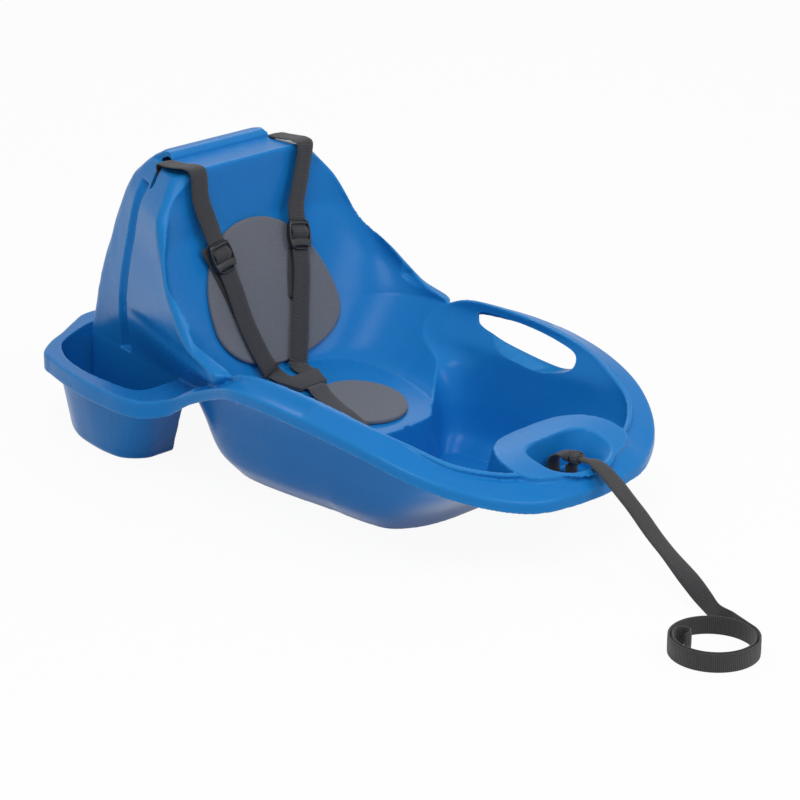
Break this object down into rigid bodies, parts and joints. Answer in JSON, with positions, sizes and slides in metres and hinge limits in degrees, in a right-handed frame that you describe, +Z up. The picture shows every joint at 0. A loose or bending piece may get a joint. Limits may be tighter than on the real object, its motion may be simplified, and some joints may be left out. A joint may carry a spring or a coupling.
{
  "type": "baby pull sled",
  "caption": "Moulded pull sled with a high hooded back, handle windows, rear bucket, foam pads, shoulder harness and a webbing tow strap.",
  "frame": {"origin": "on the ground under the middle of the moulding", "axes": "+X to the nose, along the sled; +Y to the child's left; +Z up"},
  "size_m": [1.0883, 0.426, 0.3524],
  "materials": {
    "shell": "glossy bright blue moulded polyethylene",
    "foam": "dark grey closed-cell foam sheet",
    "webbing": "black ribbed polyester webbing",
    "tow_webbing": "black ribbed polyester webbing",
    "adjuster": "black moulded acetal, satin"
  },
  "bodies": {
    "sled": {"sled_body": "shell", "back_pad": "foam", "seat_pad": "foam", "right_shoulder_strap": "webbing", "left_shoulder_strap": "webbing", "right_strap_tail": "webbing", "left_strap_tail": "webbing", "strap_bridge": "webbing", "strap_joint": "webbing", "lap_strap": "webbing", "tow_loop": "tow_webbing", "tow_knot": "tow_webbing", "tow_strap": "tow_webbing", "tow_coil": "tow_webbing"},
    "right_adjuster": {"right_adjuster": "adjuster"},
    "left_adjuster": {"left_adjuster": "adjuster"}
  },
  "joints": [
    {"name": "right_adjuster_slide", "type": "slide", "parent": "sled", "child": "right_adjuster", "axis": [-0.3205, -0.1636, 0.933], "range_m": [-0.018, 0.012]},
    {"name": "left_adjuster_slide", "type": "slide", "parent": "sled", "child": "left_adjuster", "axis": [-0.3185, 0.1923, 0.9282], "range_m": [-0.018, 0.012]}
  ]
}
